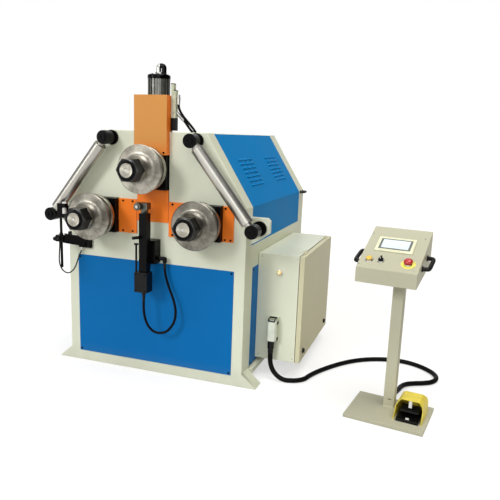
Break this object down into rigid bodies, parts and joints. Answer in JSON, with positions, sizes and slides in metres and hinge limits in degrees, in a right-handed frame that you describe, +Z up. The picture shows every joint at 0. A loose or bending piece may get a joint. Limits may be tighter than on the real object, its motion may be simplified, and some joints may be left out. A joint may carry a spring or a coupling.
{
  "type": "angle roll bender",
  "caption": "Profile bending machine with driven forming rolls on a welded body, a hydraulic top slide, a curvature sensor, an electrical cabinet and a control pedestal with foot switch.",
  "frame": {"origin": "centre of the floor anchor pattern, on the floor", "axes": "+X to the right seen from the operator, +Y to the rear, +Z up"},
  "size_m": [2.4411, 1.68, 1.88],
  "materials": {
    "cream_paint": "satin",
    "blue_paint": "satin",
    "orange_paint": "satin",
    "black_metal": "satin",
    "grey_paint": "satin",
    "turned_steel": "turned",
    "polished_steel": "polished",
    "bare_aluminium": "matte",
    "black_plastic": "matte",
    "grey_plastic": "matte",
    "white_plastic": "matte",
    "yellow_plastic": "gloss",
    "red_plastic": "gloss",
    "amber_plastic": "gloss",
    "cable_rubber": "matte"
  },
  "bodies": {
    "machine": {"front_plate": "cream_paint", "front_rim": "cream_paint", "rear_frame": "cream_paint", "body_shell": "cream_paint", "top_cover": "cream_paint", "cabinet_body": "cream_paint", "pedestal": "cream_paint", "console_box": "cream_paint", "side_panels": "blue_paint", "front_panel": "blue_paint", "roof_covers": "blue_paint", "pump_motor": "blue_paint", "slot_plates": "orange_paint", "top_guard": "orange_paint", "guide_posts": "black_metal", "lower_blocks": "black_metal", "plate_screws": "black_metal", "sensor_bracket": "black_metal", "sensor_bar": "black_metal", "probe_stand": "black_metal", "switch_base": "black_metal", "lift_cylinder": "grey_paint", "lower_drives": "grey_paint", "oil_tank": "grey_paint", "guide_bars": "polished_steel", "linear_scale": "bare_aluminium", "grab_handles": "black_plastic", "sensor_box": "black_plastic", "console_handles": "black_plastic", "connector": "grey_plastic", "touch_screen": "grey_plastic", "switch_hood": "yellow_plastic", "pilot_lamp": "amber_plastic", "scale_cables": "cable_rubber", "sensor_cable": "cable_rubber", "probe_cable": "cable_rubber", "control_cable": "cable_rubber"},
    "left_spin": {"left_shaft": "turned_steel", "left_roll": "turned_steel", "left_nut": "black_metal"},
    "right_spin": {"right_shaft": "turned_steel", "right_roll": "turned_steel", "right_nut": "black_metal"},
    "slide": {"top_slide": "black_metal", "cylinder_rod": "polished_steel", "top_drive": "grey_paint"},
    "top_spin": {"top_shaft": "turned_steel", "top_roll": "turned_steel", "top_nut": "black_metal"},
    "plunger": {"sensor_plunger": "black_metal"},
    "probe_spin": {"probe_roller": "white_plastic"},
    "contact_roller": {"sensor_roller": "turned_steel"},
    "door": {"cabinet_door": "cream_paint"},
    "front_lock": {"lock_front": "black_metal"},
    "rear_lock": {"lock_rear": "black_metal"},
    "lever": {"latch_lever": "black_plastic"},
    "stop": {"stop_button": "red_plastic"},
    "push": {"push_button": "yellow_plastic"},
    "select": {"selector": "black_plastic"},
    "foot_pedal": {"pedal": "bare_aluminium"}
  },
  "joints": [
    {"name": "left_roll_spin", "type": "hinge", "parent": "machine", "child": "left_spin", "pos_m": [-0.341, -0.682, 0.984], "axis": [0, 1, 0], "continuous": true},
    {"name": "right_roll_spin", "type": "hinge", "parent": "machine", "child": "right_spin", "pos_m": [0.341, -0.682, 0.984], "axis": [0, 1, 0], "continuous": true},
    {"name": "top_slide_lift", "type": "slide", "parent": "machine", "child": "slide", "axis": [0, 0, 1], "range_m": [-0.06, 0.03]},
    {"name": "top_roll_spin", "type": "hinge", "parent": "slide", "child": "top_spin", "pos_m": [0, -0.682, 1.28], "axis": [0, 1, 0], "continuous": true},
    {"name": "plunger_slide", "type": "slide", "parent": "machine", "child": "plunger", "axis": [0, 0, 1], "range_m": [-0.022, 0], "stiffness_N_per_m": 600, "springref_m": 0.05},
    {"name": "contact_roller_spin", "type": "hinge", "parent": "plunger", "child": "contact_roller", "pos_m": [-0.027, -0.817, 1.064], "axis": [0, 1, 0], "continuous": true},
    {"name": "probe_roller_spin", "type": "hinge", "parent": "machine", "child": "probe_spin", "pos_m": [-0.536, -0.807, 1], "axis": [0, 0, 1], "continuous": true},
    {"name": "cabinet_door_hinge", "type": "hinge", "parent": "machine", "child": "door", "pos_m": [0.8575, -0.012, 0.7905], "axis": [0, -1, 0], "range_deg": [0, 90]},
    {"name": "lock_front_turn", "type": "hinge", "parent": "door", "child": "front_lock", "pos_m": [0.889, -0.352, 0.165], "axis": [1, 0, 0], "range_deg": [0, 90]},
    {"name": "lock_rear_turn", "type": "hinge", "parent": "door", "child": "rear_lock", "pos_m": [0.889, 0.303, 0.165], "axis": [1, 0, 0], "range_deg": [0, 90]},
    {"name": "latch_lever_hinge", "type": "hinge", "parent": "machine", "child": "lever", "pos_m": [0.717, -0.452, 0.39], "axis": [-1, 0, 0], "range_deg": [0, 80]},
    {"name": "stop_button_push", "type": "slide", "parent": "machine", "child": "stop", "axis": [-0.0631, -0.4273, 0.9019], "range_m": [-0.006, 0]},
    {"name": "push_button_push", "type": "slide", "parent": "machine", "child": "push", "axis": [-0.0631, -0.4273, 0.9019], "range_m": [-0.003, 0], "stiffness_N_per_m": 1500, "springref_m": 0.002},
    {"name": "selector_turn", "type": "hinge", "parent": "machine", "child": "select", "pos_m": [1.36037, -0.72786, 0.87296], "axis": [-0.0631, -0.4273, 0.9019], "range_deg": [-45, 45]},
    {"name": "pedal_hinge", "type": "hinge", "parent": "machine", "child": "foot_pedal", "pos_m": [1.59133, -0.64243, 0.052], "axis": [0.9893, -0.1461, 0], "range_deg": [0, 8], "stiffness_Nm_per_rad": 4, "springref_deg": -17.19}
  ],
  "couplings": [
    {"joint": "right_roll_spin", "follows": "left_roll_spin", "ratio": 1},
    {"joint": "top_roll_spin", "follows": "left_roll_spin", "ratio": -1}
  ]
}
